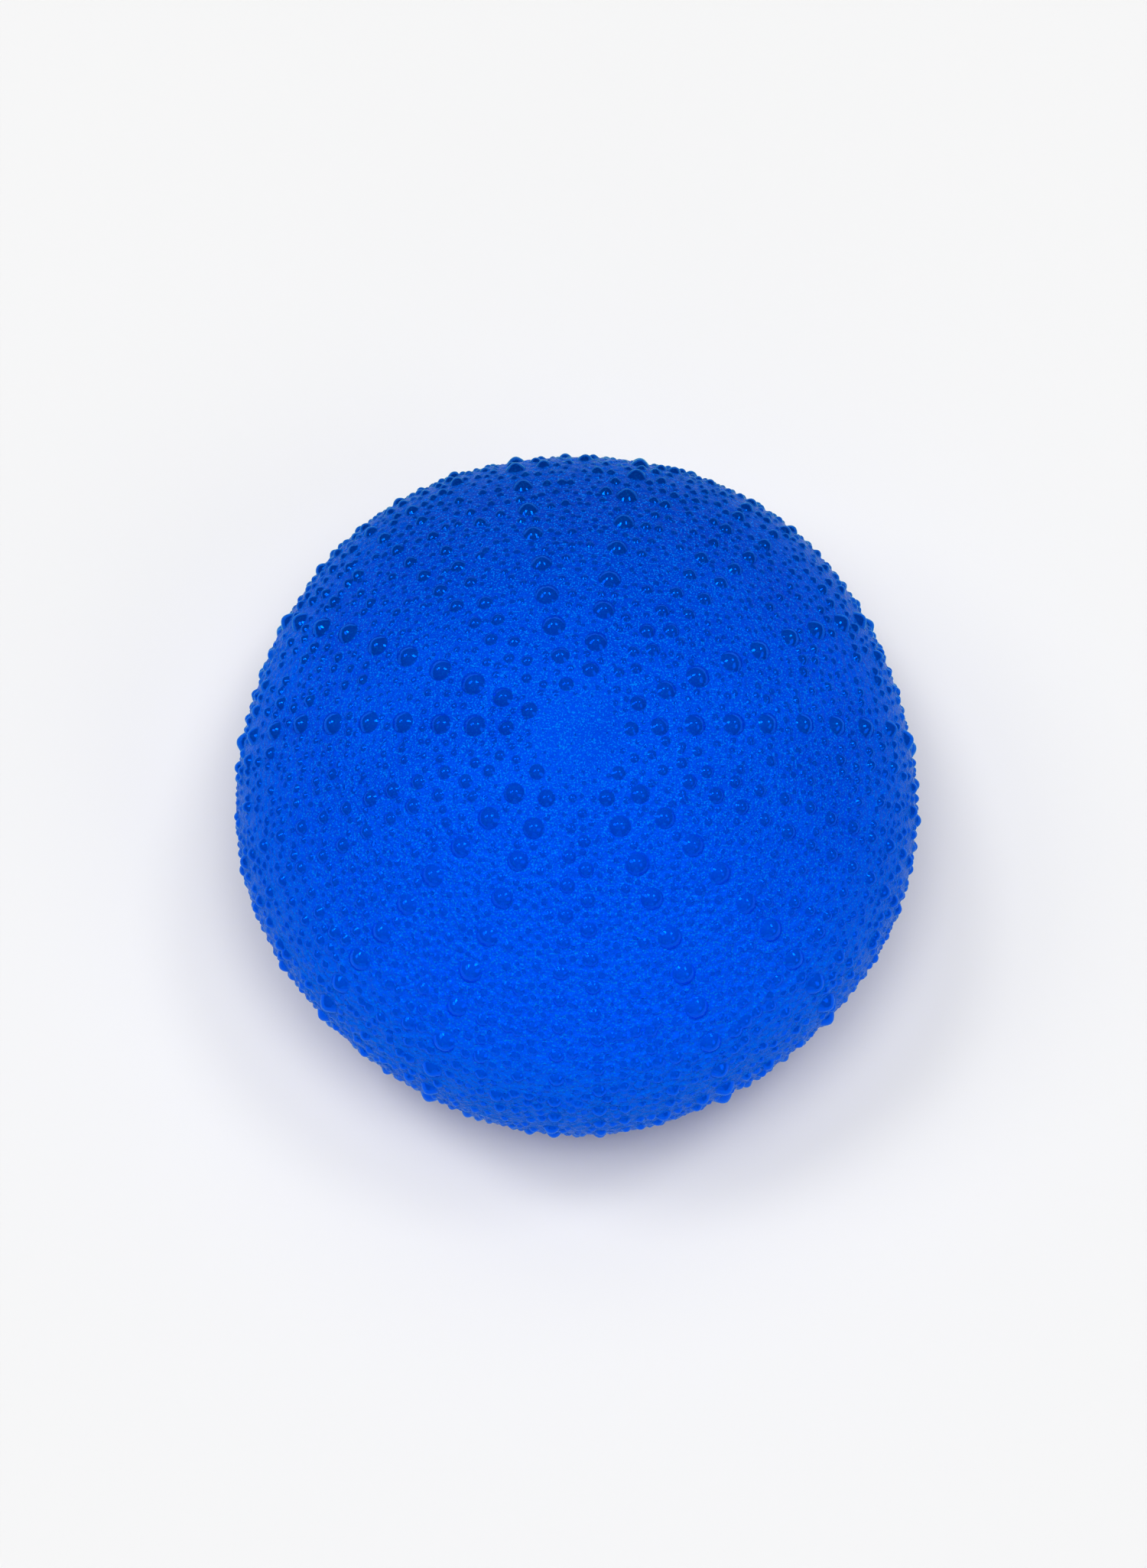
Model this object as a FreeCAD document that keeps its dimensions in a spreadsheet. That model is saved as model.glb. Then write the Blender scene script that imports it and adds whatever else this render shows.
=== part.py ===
"""A gel-filled stress ball in the shape of a sea urchin's shell, in millimetres.

+Z is up and the origin is the centre of the flat foot that the ball rests on.
Every piece is turned about Z. A thick soft skin holds a thin liner bag full of gel. The bag's neck comes
down through the fill port in the middle of the underside, where a barbed plug pinches it shut. A disc glued
into the mouth recess covers the plug. The skin is one moulding, held here as three solids that meet at flat
faces: the crown that a palm presses down, the wall that flexes and the base that stays on the table.
"""

import FreeCAD, Part
import math
import os

import Sketcher

DRIVING_SIZES = (
    # name, millimetres, what it is
    ("ball_width", 75.0, "across the girth, the widest place"),
    ("ball_height", 40.5, "from the foot to the top of the crown"),
    ("girth_height", 17.2, "height of the girth above the foot"),
    ("crown_shoulder", 15.0, "radius of the shoulder above the girth"),
    ("under_shoulder", 14.0, "radius of the shoulder below the girth"),
    ("foot_ring", 2.8, "how far the flat foot reaches outside the boss"),
    ("skin_thickness", 2.4, "thickness of the skin"),
    ("crown_line", 28.0, "height where the crown meets the wall"),
    ("base_rise", 0.5, "how far the wall's lower edge is above the boss"),
    ("soft_gap", 0.2, "gap between the soft layers inside the skin"),
    ("liner_wall", 0.6, "thickness of the liner bag"),
    ("mouth_width", 24.0, "across the recess that holds the cover disc"),
    ("ledge_height", 1.8, "height of the ledge that the cover disc is glued to"),
    ("seat_width", 17.2, "across the pocket for the plug's head"),
    ("seat_height", 4.0, "height of the face that the liner's lip seats on"),
    ("port_width", 9.0, "bore of the fill port"),
    ("boss_top", 9.0, "height of the top of the boss round the port"),
    ("neck_gap", 0.1, "gap between the port and the liner's neck, and above its lip"),
    ("head_gap", 0.2, "gap round the plug's head and round the cover disc"),
    ("head_thickness", 1.2, "thickness of the plug's head"),
    ("stem_gap", 0.05, "gap between the plug's stem and the liner's neck"),
    ("barb_bite", 0.15, "how far a barb bites into the liner's neck"),
    ("barb_start", 0.5, "distance from the liner's lip to the lowest barb"),
    ("tip_taper", 0.9, "how far the plug's tip draws in"),
    ("glue_thickness", 0.2, "thickness of the adhesive ring"),
    ("glue_margin", 0.4, "how far the adhesive stays inside the ledge's edges"),
    ("disc_thickness", 1.0, "thickness of the cover disc"),
    ("disc_crown", 0.3, "how far the cover disc's middle is dished"),
    ("edge_radius", 0.5, "rounding of the mouth's rim and the boss"),
)
BARB_COUNT = 3
BARB_SHARE = 0.7  # part of the pitch that a barb takes up
CLOSE = 0.0001  # millimetres within which two places count as the same
OUT_FOLDER = "parts"


class Size:
    """A length and the sheet formula that gives it, so that sketches start solved and stay bound."""

    def __init__(self, value, formula):
        self.value = value
        self.formula = formula

    def joined(self, value, sign, other):
        text = other.formula if isinstance(other, Size) else other
        return Size(value, f"({self.formula} {sign} {text})")

    def __add__(self, other):
        return self.joined(self.value + other.value, "+", other)

    def __sub__(self, other):
        return self.joined(self.value - other.value, "-", other)

    def __mul__(self, other):
        return self.joined(self.value * getattr(other, "value", other), "*", other)

    def __truediv__(self, other):
        return self.joined(self.value / getattr(other, "value", other), "/", other)

    def root(self):
        return Size(math.sqrt(self.value), f"sqrt({self.formula})")


def make_sheet(doc):
    """Puts the driving sizes into a spreadsheet and returns them as Size objects by name."""
    sheet = doc.addObject("Spreadsheet::Sheet", "sizes")
    found = {}
    for row, (name, value, meaning) in enumerate(DRIVING_SIZES, start=1):
        sheet.set(f"A{row}", name)
        sheet.set(f"B{row}", str(value))
        sheet.set(f"C{row}", meaning)
        sheet.setAlias(f"B{row}", name)
        found[name] = Size(value, f"sizes.{name}")
    doc.recompute()
    return found


def mouth_radius(sizes):
    return sizes["mouth_width"] / 2


def boss_radius(sizes):
    return mouth_radius(sizes) + sizes["skin_thickness"]


def base_line(sizes):
    return sizes["boss_top"] + sizes["base_rise"]


def underside_radius(sizes):
    """Radius of the arc that is centred on the axis, passes through the foot's outer edge and is tangent
    to the lower shoulder. Its centre's height solves a quadratic."""
    shoulder, girth = sizes["under_shoulder"], sizes["girth_height"]
    foot = boss_radius(sizes) + sizes["foot_ring"]
    reach = sizes["ball_width"] / 2 - shoulder
    spread = reach * reach + girth * girth - foot * foot - shoulder * shoulder
    square = (girth * girth - shoulder * shoulder) * 4
    linear = girth * spread * 4
    constant = spread * spread - foot * foot * shoulder * shoulder * 4
    centre = (linear + (linear * linear - square * constant * 4).root()) / (square * 2)
    return (girth * centre * 2 - spread) / (shoulder * 2)


class TurnedSketch:
    """A closed half profile in its body's XZ plane, right of the vertical axis, bound to the sheet."""

    def __init__(self, body, name):
        self.sketch = body.newObject("Sketcher::SketchObject", name)
        plane = next(f for f in body.Origin.OriginFeatures if f.Role == "XZ_Plane")
        self.sketch.AttachmentSupport = [(plane, "")]
        self.sketch.MapMode = "FlatFace"
        self.named = 0

    def bind(self, size, *constraint):
        """Adds a dimension that takes its value from the sheet."""
        index = self.sketch.addConstraint(Sketcher.Constraint(*constraint, size.value))
        self.named += 1
        label = f"size_{self.named}"
        self.sketch.renameConstraint(index, label)
        self.sketch.setExpression(f"Constraints.{label}", size.formula)

    def relate(self, *constraint):
        self.sketch.addConstraint(Sketcher.Constraint(*constraint))

    def arc(self, centre, radius, start, end):
        """An anticlockwise arc between two angles. Its start is point 1, its end 2 and its centre 3."""
        circle = Part.Circle(FreeCAD.Vector(*centre, 0), FreeCAD.Vector(0, 0, 1), radius)
        return self.sketch.addGeometry(Part.ArcOfCircle(circle, start, end), False)

    def dome(self, sizes, inset):
        """The ball's outline, inset by a distance: four tangent arcs from the top of the axis down to the
        floor at the inset's height. Returns (arc, point) at the top and (arc, point) at the floor."""
        girth = sizes["ball_width"] / 2 - inset
        height = sizes["girth_height"]
        top = sizes["ball_height"] - inset
        upper_r = sizes["crown_shoulder"] - inset
        lower_r = sizes["under_shoulder"] - inset
        under_r = underside_radius(sizes) - inset

        # Circles that touch inside each other have centres apart by the difference of their radii.
        across = girth.value - upper_r.value
        rise = top.value - height.value - upper_r.value
        drop = (across**2 - rise**2) / (2 * rise)
        crown_centre = height.value - drop
        crown_r = top.value - crown_centre
        upper_turn = math.atan2(drop, across)
        reach = girth.value - lower_r.value
        lift = math.sqrt((under_r.value - lower_r.value) ** 2 - reach**2)
        under_centre = height.value + lift
        lower_turn = math.atan2(-lift, reach)
        floor_turn = math.asin((inset.value - under_centre) / under_r.value)

        crown = self.arc((0, crown_centre), crown_r, upper_turn, math.pi / 2)
        upper = self.arc((across, height.value), upper_r.value, 0, upper_turn)
        lower = self.arc((reach, height.value), lower_r.value, lower_turn, 0)
        under = self.arc((0, under_centre), under_r.value, floor_turn, lower_turn)

        self.relate("PointOnObject", crown, 3, -2)
        self.relate("PointOnObject", crown, 2, -2)
        self.bind(top, "DistanceY", -1, 1, crown, 2)
        self.relate("Tangent", crown, 1, upper, 2)
        self.bind(girth, "DistanceX", -1, 1, upper, 1)
        self.bind(height, "DistanceY", -1, 1, upper, 1)
        self.relate("Horizontal", upper, 3, upper, 1)
        self.bind(upper_r, "Radius", upper)
        self.relate("Tangent", upper, 1, lower, 2)
        self.bind(lower_r, "Radius", lower)
        self.relate("Tangent", lower, 1, under, 2)
        self.bind(under_r, "Radius", under)
        self.relate("PointOnObject", under, 3, -2)
        if inset.value:
            self.bind(inset, "DistanceY", -1, 1, under, 1)
        else:
            self.relate("PointOnObject", under, 1, -1)
        return (crown, 2), (under, 1)

    def place_of(self, end):
        return self.sketch.getPoint(*end)

    def steps(self, start, corners, finish):
        """Straight lines from one (geometry, point) through corners (radius, height) to another. Zero is a
        place on the axis or on the floor, and each other corner is bound to its two sizes."""
        previous, previous_place = start, self.place_of(start)
        for x, z in corners:
            place = FreeCAD.Vector(x.value if x else 0, z.value if z else 0, 0)
            line = self.sketch.addGeometry(Part.LineSegment(previous_place, place), False)
            if previous:
                self.relate("Coincident", *previous, line, 1)
            if x:
                self.bind(x, "DistanceX", -1, 1, line, 2)
            else:
                self.relate("PointOnObject", line, 2, -2)
            if z:
                self.bind(z, "DistanceY", -1, 1, line, 2)
            else:
                self.relate("PointOnObject", line, 2, -1)
            previous, previous_place = (line, 2), place
        last = self.sketch.addGeometry(Part.LineSegment(previous_place, self.place_of(finish)), False)
        self.relate("Coincident", *previous, last, 1)
        self.relate("Coincident", last, 2, *finish)

    def polygon(self, corners):
        """A closed outline through corners (radius, height), each bound to its two sizes."""
        places = [FreeCAD.Vector(x.value if x else 0, z.value if z else 0, 0) for x, z in corners]
        lines = [
            self.sketch.addGeometry(Part.LineSegment(places[i - 1], places[i]), False)
            for i in range(len(places))
        ]
        for i, (x, z) in enumerate(corners):
            self.relate("Coincident", lines[i], 2, lines[(i + 1) % len(lines)], 1)
            if x:
                self.bind(x, "DistanceX", -1, 1, lines[i], 2)
            else:
                self.relate("PointOnObject", lines[i], 2, -2)
            if z:
                self.bind(z, "DistanceY", -1, 1, lines[i], 2)
            else:
                self.relate("PointOnObject", lines[i], 2, -1)


def new_body(doc, label):
    body = doc.addObject("PartDesign::Body", label)
    body.Label = label
    return body


def turn(body, turned, name):
    """Turns a half profile right round the Z axis."""
    feature = body.newObject("PartDesign::Revolution", name)
    feature.Profile = turned.sketch
    feature.ReferenceAxis = (turned.sketch, ["V_Axis"])
    feature.Angle = 360
    turned.sketch.Visibility = False
    return feature


def round_edges(doc, body, feature, name, radius, circles):
    """Rounds the circular edges at the given (radius, height) places."""
    doc.recompute()
    picked = []
    for index, edge in enumerate(feature.Shape.Edges, start=1):
        if edge.Degenerated or edge.Curve.TypeId != "Part::GeomCircle":
            continue
        for wide, high in circles:
            at_radius = abs(edge.Curve.Radius - wide) < CLOSE
            if at_radius and abs(edge.Curve.Center.z - high) < CLOSE:
                picked.append(f"Edge{index}")
    fillet = body.newObject("PartDesign::Fillet", name)
    fillet.Base = (feature, picked)
    fillet.Radius = radius.value
    fillet.setExpression("Radius", radius.formula)
    return fillet


def make_skin(doc, sizes):
    """The whole skin as it leaves the mould, with the boss, the fill port and the mouth recess."""
    body = new_body(doc, "skin_moulding")
    wall, top = sizes["skin_thickness"], sizes["boss_top"]
    mouth, boss, port = mouth_radius(sizes), boss_radius(sizes), sizes["port_width"] / 2
    seat = sizes["seat_width"] / 2
    profile = TurnedSketch(body, "skin_profile")
    outer_top, outer_floor = profile.dome(sizes, wall - wall)
    inner_top, inner_floor = profile.dome(sizes, wall)
    profile.steps(
        outer_floor,
        [
            (mouth, None),
            (mouth, sizes["ledge_height"]),
            (seat, sizes["ledge_height"]),
            (seat, sizes["seat_height"]),
            (port, sizes["seat_height"]),
            (port, top),
            (boss, top),
            (boss, wall),
        ],
        inner_floor,
    )
    profile.steps(inner_top, [], outer_top)
    moulding = turn(body, profile, "skin_turned")
    rims = [(mouth.value, 0), (boss.value, top.value), (port.value, top.value)]
    round_edges(doc, body, moulding, "soft_edges", sizes["edge_radius"], rims)
    return body


def make_skin_zone(doc, sizes, skin, label, low, high):
    """The slice of the skin between two heights, as a solid of its own."""
    slab = doc.addObject("Part::Cylinder", f"{label}_slab")
    slab.Radius = sizes["ball_width"].value
    slab.setExpression("Radius", sizes["ball_width"].formula)
    slab.Height = (high - low).value
    slab.setExpression("Height", (high - low).formula)
    slab.Placement = FreeCAD.Placement(FreeCAD.Vector(0, 0, low.value), FreeCAD.Rotation())
    slab.setExpression("Placement.Base.z", low.formula)
    zone = doc.addObject("Part::Common", label)
    zone.Base = skin
    zone.Tool = slab
    zone.Label = label
    return zone


def liner_sizes(sizes):
    """Sizes that the liner shares with the gel inside it and the plug in its neck."""
    boss = boss_radius(sizes)
    outside = sizes["skin_thickness"] + sizes["soft_gap"]
    return {
        "outside": outside,
        "inside": outside + sizes["liner_wall"],
        "boss_outside": boss + sizes["soft_gap"],
        "boss_inside": boss + sizes["soft_gap"] + sizes["liner_wall"],
        "over_boss": sizes["boss_top"] + sizes["soft_gap"],
        "above_boss": sizes["boss_top"] + sizes["soft_gap"] + sizes["liner_wall"],
        "neck_outside": sizes["port_width"] / 2 - sizes["neck_gap"],
        "neck_inside": sizes["port_width"] / 2 - sizes["neck_gap"] - sizes["liner_wall"],
        "lip_top": sizes["seat_height"] - sizes["neck_gap"],
        "lip_bottom": sizes["seat_height"] - sizes["neck_gap"] - sizes["liner_wall"],
        "lip_radius": sizes["seat_width"] / 2 - sizes["head_gap"],
    }


def make_liner(doc, sizes):
    """The bag that holds the gel. Its neck runs down the port and turns out into a lip on the seat."""
    body = new_body(doc, "inner_liner")
    at = liner_sizes(sizes)
    profile = TurnedSketch(body, "liner_profile")
    outer_top, outer_floor = profile.dome(sizes, at["outside"])
    inner_top, inner_floor = profile.dome(sizes, at["inside"])
    profile.steps(
        outer_floor,
        [
            (at["boss_outside"], at["outside"]),
            (at["boss_outside"], at["over_boss"]),
            (at["neck_outside"], at["over_boss"]),
            (at["neck_outside"], at["lip_top"]),
            (at["lip_radius"], at["lip_top"]),
            (at["lip_radius"], at["lip_bottom"]),
            (at["neck_inside"], at["lip_bottom"]),
            (at["neck_inside"], at["above_boss"]),
            (at["boss_inside"], at["above_boss"]),
            (at["boss_inside"], at["inside"]),
        ],
        inner_floor,
    )
    profile.steps(inner_top, [], outer_top)
    turn(body, profile, "liner_turned")
    return body


def make_gel(doc, sizes):
    """The soft gel that fills the liner, with a hollow under it where the boss stands."""
    body = new_body(doc, "gel_filling")
    at = liner_sizes(sizes)
    inset = at["inside"] + sizes["soft_gap"]
    boss = at["boss_inside"] + sizes["soft_gap"]
    over = at["above_boss"] + sizes["soft_gap"]
    profile = TurnedSketch(body, "gel_profile")
    top, floor = profile.dome(sizes, inset)
    profile.steps(floor, [(boss, inset), (boss, over), (None, over)], top)
    turn(body, profile, "gel_turned")
    return body


def make_plug(doc, sizes):
    """The stopper: a flat head in the seat pocket and a tapered stem with barbs up the liner's neck."""
    body = new_body(doc, "fill_plug")
    at = liner_sizes(sizes)
    stem = at["neck_inside"] - sizes["stem_gap"]
    barb = at["neck_inside"] + sizes["barb_bite"]
    head_low = at["lip_bottom"] - sizes["head_thickness"]
    tip = stem - sizes["tip_taper"]
    shape = TurnedSketch(body, "plug_profile")
    shape.polygon(
        [
            (None, head_low),
            (at["lip_radius"], head_low),
            (at["lip_radius"], at["lip_bottom"]),
            (stem, at["lip_bottom"]),
            (stem, at["above_boss"] - sizes["tip_taper"]),
            (tip, at["above_boss"]),
            (None, at["above_boss"]),
        ]
    )
    turn(body, shape, "plug_turned")
    first = at["lip_top"] + sizes["barb_start"]
    pitch = (at["above_boss"] - sizes["tip_taper"] - first) / BARB_COUNT
    last = first + pitch * BARB_SHARE
    tooth = TurnedSketch(body, "barb_profile")
    tooth.polygon(
        [
            (stem - sizes["stem_gap"], first),
            (barb, first),
            (stem, last),
            (stem - sizes["stem_gap"], last),
        ]
    )
    barb_ring = turn(body, tooth, "barb_turned")
    doc.recompute()
    row = body.newObject("PartDesign::LinearPattern", "barb_row")
    row.Originals = [barb_ring]
    axis = next(f for f in body.Origin.OriginFeatures if f.Role == "Z_Axis")
    row.Direction = (axis, [""])
    run = pitch * (BARB_COUNT - 1)
    row.Length = run.value
    row.setExpression("Length", run.formula)
    row.Occurrences = BARB_COUNT
    body.Tip = row
    return body


def make_adhesive(doc, sizes):
    """The ring of adhesive between the recess's ledge and the cover disc."""
    outer = mouth_radius(sizes) - sizes["head_gap"] - sizes["glue_margin"]
    inner = sizes["seat_width"] / 2 + sizes["glue_margin"]
    body = new_body(doc, "disc_adhesive")
    shape = TurnedSketch(body, "adhesive_profile")
    low = sizes["ledge_height"] - sizes["glue_thickness"]
    high = sizes["ledge_height"]
    shape.polygon([(inner, low), (outer, low), (outer, high), (inner, high)])
    turn(body, shape, "adhesive_turned")
    return body


def make_cover_disc(doc, sizes):
    """The disc that hides the plug. Its lower face is dished, so only its edge comes near the table."""
    radius = mouth_radius(sizes) - sizes["head_gap"]
    high = sizes["ledge_height"] - sizes["glue_thickness"]
    low = high - sizes["disc_thickness"]
    body = new_body(doc, "cover_disc")
    shape = TurnedSketch(body, "disc_profile")
    shape.polygon([(None, low + sizes["disc_crown"]), (radius, low), (radius, high), (None, high)])
    turn(body, shape, "disc_turned")
    return body


def check_document(doc):
    """Stops if any object failed to compute."""
    for item in doc.Objects:
        if "Invalid" in item.State or "Error" in item.State:
            raise RuntimeError(f"{item.Label} failed: {item.State}")


def write_pieces(pieces):
    """Checks that each piece is one valid solid and writes them all."""
    for piece in pieces:
        shape = piece.Shape
        if shape.isNull() or not shape.isValid() or len(shape.Solids) != 1 or shape.Volume <= 0:
            raise RuntimeError(f"{piece.Label} is not one valid solid")
    os.makedirs(OUT_FOLDER, exist_ok=True)
    for piece in pieces:
        piece.Shape.exportStep(os.path.join(OUT_FOLDER, f"{piece.Label}.step"))
        print(f"{piece.Label}: {piece.Shape.Volume / 1000:.2f} cm3")


def main():
    doc = FreeCAD.newDocument("stress_ball")
    sizes = make_sheet(doc)
    skin = make_skin(doc, sizes)
    top, crown_line, low_line = sizes["ball_height"], sizes["crown_line"], base_line(sizes)
    pieces = [
        make_skin_zone(doc, sizes, skin, "skin_crown", crown_line, top),
        make_skin_zone(doc, sizes, skin, "skin_wall", low_line, crown_line),
        make_skin_zone(doc, sizes, skin, "skin_base", top - top, low_line),
        make_liner(doc, sizes),
        make_gel(doc, sizes),
        make_plug(doc, sizes),
        make_adhesive(doc, sizes),
        make_cover_disc(doc, sizes),
    ]
    doc.recompute()
    check_document(doc)
    write_pieces(pieces)


main()
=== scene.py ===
import bpy
import math
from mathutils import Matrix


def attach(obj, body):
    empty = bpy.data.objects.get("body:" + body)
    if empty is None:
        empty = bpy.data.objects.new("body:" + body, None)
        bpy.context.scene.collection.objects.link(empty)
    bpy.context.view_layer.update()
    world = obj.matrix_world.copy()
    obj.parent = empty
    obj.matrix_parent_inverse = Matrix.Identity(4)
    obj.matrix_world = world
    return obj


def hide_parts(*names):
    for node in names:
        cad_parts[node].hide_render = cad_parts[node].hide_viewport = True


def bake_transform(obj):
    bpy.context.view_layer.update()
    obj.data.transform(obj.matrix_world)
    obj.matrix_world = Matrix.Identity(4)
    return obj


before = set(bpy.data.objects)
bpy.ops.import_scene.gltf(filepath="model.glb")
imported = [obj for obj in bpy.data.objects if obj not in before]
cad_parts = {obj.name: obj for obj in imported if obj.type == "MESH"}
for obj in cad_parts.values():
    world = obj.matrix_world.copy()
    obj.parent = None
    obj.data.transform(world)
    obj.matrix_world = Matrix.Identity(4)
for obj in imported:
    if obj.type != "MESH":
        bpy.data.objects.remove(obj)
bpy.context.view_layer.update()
print("frame loaded:", sorted(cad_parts))


# removes a mesh or a curve that nothing uses any more
def dropBlock(block, store):
    if block.users == 0:
        store.remove(block)


def dropCurve(piece):
    line = piece.data
    bpy.data.objects.remove(piece)
    dropBlock(line, bpy.data.curves)


def addPiece(name, data):
    piece = bpy.data.objects.new(name, data)
    bpy.context.scene.collection.objects.link(piece)
    return piece


# the ball: a flattened round with a broad crown, two shoulders and a shallow underside
ballShape = {
    "halfWidth": 0.0375,
    "height": 0.0405,
    "girth": 0.0172,          # height of the widest place
    "crownShoulder": 0.015,
    "underShoulder": 0.014,
    "footRadius": 0.0172,     # outer edge of the flat foot
    "skin": 0.0024,
    "mouthRadius": 0.012,
    "mouthRim": 0.0005,
    "ledgeHeight": 0.0018,
    "seatRadius": 0.0086,
    "seatHeight": 0.004,
    "portRadius": 0.0045,
    "bossTop": 0.009,
}


def arcPoints(centre, radius, start, end, step):
    count = max(2, math.ceil(abs(end - start) * radius / step))
    turns = [start + (end - start) * i / count for i in range(count + 1)]
    return [(centre[0] + radius * math.cos(t), centre[1] + radius * math.sin(t)) for t in turns]


# half outline from the top of the axis round to the floor of the given inset
def domeRun(shape, inset, step, underStep=None):
    a, g = shape["halfWidth"], shape["girth"]
    upperR, lowerR, foot = shape["crownShoulder"], shape["underShoulder"], shape["footRadius"]
    across, rise = a - upperR, shape["height"] - g - upperR
    drop = (across ** 2 - rise ** 2) / (2 * rise)
    crownR = shape["height"] - g + drop
    upperTurn = math.atan2(drop, across)
    reach = a - lowerR
    spread = reach ** 2 + g ** 2 - foot ** 2 - lowerR ** 2
    square = 4 * (g ** 2 - lowerR ** 2)
    linear = 4 * g * spread
    under = linear ** 2 - 4 * square * (spread ** 2 - 4 * (foot * lowerR) ** 2)
    centre = (linear + math.sqrt(under)) / (2 * square)
    underR = (2 * g * centre - spread) / (2 * lowerR)
    lowerTurn = math.atan2(g - centre, reach)
    floorTurn = math.asin((inset - centre) / (underR - inset))
    below = underStep or step
    run = arcPoints((0, g - drop), crownR - inset, math.pi / 2, upperTurn, step)
    run += arcPoints((across, g), upperR - inset, upperTurn, 0, step)[1:]
    run += arcPoints((reach, g), lowerR - inset, 0, lowerTurn, below)[1:]
    run += arcPoints((0, centre), underR - inset, lowerTurn, floorTurn, below)[1:]
    run[0] = (0.0, run[0][1])
    return run


# straight runs between corners (radius, height), cut into steps
def cornerRun(corners, step):
    run = []
    for (r0, z0), (r1, z1) in zip(corners, corners[1:]):
        count = max(1, math.ceil(math.hypot(r1 - r0, z1 - z0) / step))
        run += [(r0 + (r1 - r0) * i / count, z0 + (z1 - z0) * i / count) for i in range(1, count + 1)]
    return run


# turns a half outline about Z
# rings lose half their points where they get small, so the faces stay even
def turnedMesh(name, run, most, sparsest):
    verts, faces, rings = [], [], []
    last = None
    for r, z in run:
        if r < 1e-7:
            count = 1
        else:
            count = most
            while count > 10 and 2 * math.pi * r / count < sparsest:
                count //= 2
            if last and last > 1:
                count = min(max(count, last // 2), last * 2)
        rings.append((len(verts), count))
        verts += [(r * math.cos(math.tau * j / count), r * math.sin(math.tau * j / count), z) for j in range(count)]
        last = count
    for (a, m), (b, n) in zip(rings, rings[1:]):
        if m == 1:
            faces += [(a, b + j, b + (j + 1) % n) for j in range(n)]
        elif n == 1:
            faces += [(a + j, b, a + (j + 1) % m) for j in range(m)]
        elif m == n:
            faces += [(a + j, b + j, b + (j + 1) % n, a + (j + 1) % m) for j in range(m)]
        elif n == 2 * m:
            for j in range(m):
                k = (2 * j + 2) % n
                faces += [(a + j, b + 2 * j, b + 2 * j + 1), (a + j, b + 2 * j + 1, a + (j + 1) % m),
                          (a + (j + 1) % m, b + 2 * j + 1, b + k)]
        else:
            for j in range(n):
                k = (2 * j + 2) % m
                faces += [(a + 2 * j, b + j, a + 2 * j + 1), (a + 2 * j + 1, b + j, b + (j + 1) % n),
                          (a + 2 * j + 1, b + (j + 1) % n, a + k)]
    mesh = bpy.data.meshes.new(name)
    mesh.from_pydata(verts, [], faces)
    mesh.validate()
    mesh.shade_smooth()
    return mesh


# makes a node: inputs are sockets to link or plain values, settings are the node's own options
def addNode(tree, kind, inputs=None, **settings):
    made = tree.nodes.new(kind)
    for key, value in settings.items():
        setattr(made, key, value)
    for key, value in (inputs or {}).items():
        if isinstance(value, bpy.types.NodeSocket):
            tree.links.new(value, made.inputs[key])
        else:
            made.inputs[key].default_value = value
    return made


# arithmetic on two or three sockets or numbers
def calc(tree, operation, *values):
    return addNode(tree, "ShaderNodeMath", dict(enumerate(values)), operation=operation).outputs[0]


def plus(tree, *values):
    return calc(tree, "ADD", *values)


def minus(tree, *values):
    return calc(tree, "SUBTRACT", *values)


def times(tree, *values):
    return calc(tree, "MULTIPLY", *values)


def vectorCalc(tree, operation, *values):
    made = addNode(tree, "ShaderNodeVectorMath", dict(enumerate(values)), operation=operation)
    return made.outputs["Value" if operation in ("LENGTH", "DISTANCE", "DOT_PRODUCT") else "Vector"]


# 0 below low, 1 above high, eased between
def ramp(tree, value, low, high, start=0.0, end=1.0):
    return addNode(tree, "ShaderNodeMapRange", {"Value": value, "From Min": low, "From Max": high, "To Min": start,
                                               "To Max": end}, interpolation_type="SMOOTHSTEP").outputs["Result"]


def randomValue(tree, low, high, ident, seed):
    made = addNode(tree, "FunctionNodeRandomValue", data_type="FLOAT")
    tree.links.new(ident, made.inputs["ID"])
    for key, value in (("Min", low), ("Max", high), ("Seed", seed)):
        socket = [s for s in made.inputs if s.name == key and s.enabled][-1]
        if isinstance(value, bpy.types.NodeSocket):
            tree.links.new(value, socket)
        else:
            socket.default_value = value
    return [s for s in made.outputs if s.enabled][0]


def newTree(name, sockets):
    tree = bpy.data.node_groups.new(name, "GeometryNodeTree")
    for label, kind, value in sockets:
        socket = tree.interface.new_socket(label, in_out="INPUT", socket_type="NodeSocket" + kind)
        if value is not None:
            socket.default_value = value
    tree.interface.new_socket("Geometry", in_out="OUTPUT", socket_type="NodeSocketGeometry")
    return tree


# runs a tree on a piece and keeps the result as a plain mesh
def bakeTree(piece, tree, values):
    modifier = piece.modifiers.new(tree.name, "NODES")
    modifier.node_group = tree
    for item in tree.interface.items_tree:
        if item.item_type == "SOCKET" and item.in_out == "INPUT" and item.name in values:
            modifier[item.identifier] = values[item.name]
    bpy.context.view_layer.update()
    graph = bpy.context.evaluated_depsgraph_get()
    plain = bpy.data.meshes.new_from_object(piece.evaluated_get(graph), depsgraph=graph)
    old = piece.data
    piece.modifiers.remove(modifier)
    piece.data = plain
    dropBlock(old, bpy.data.meshes)
    return piece


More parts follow.
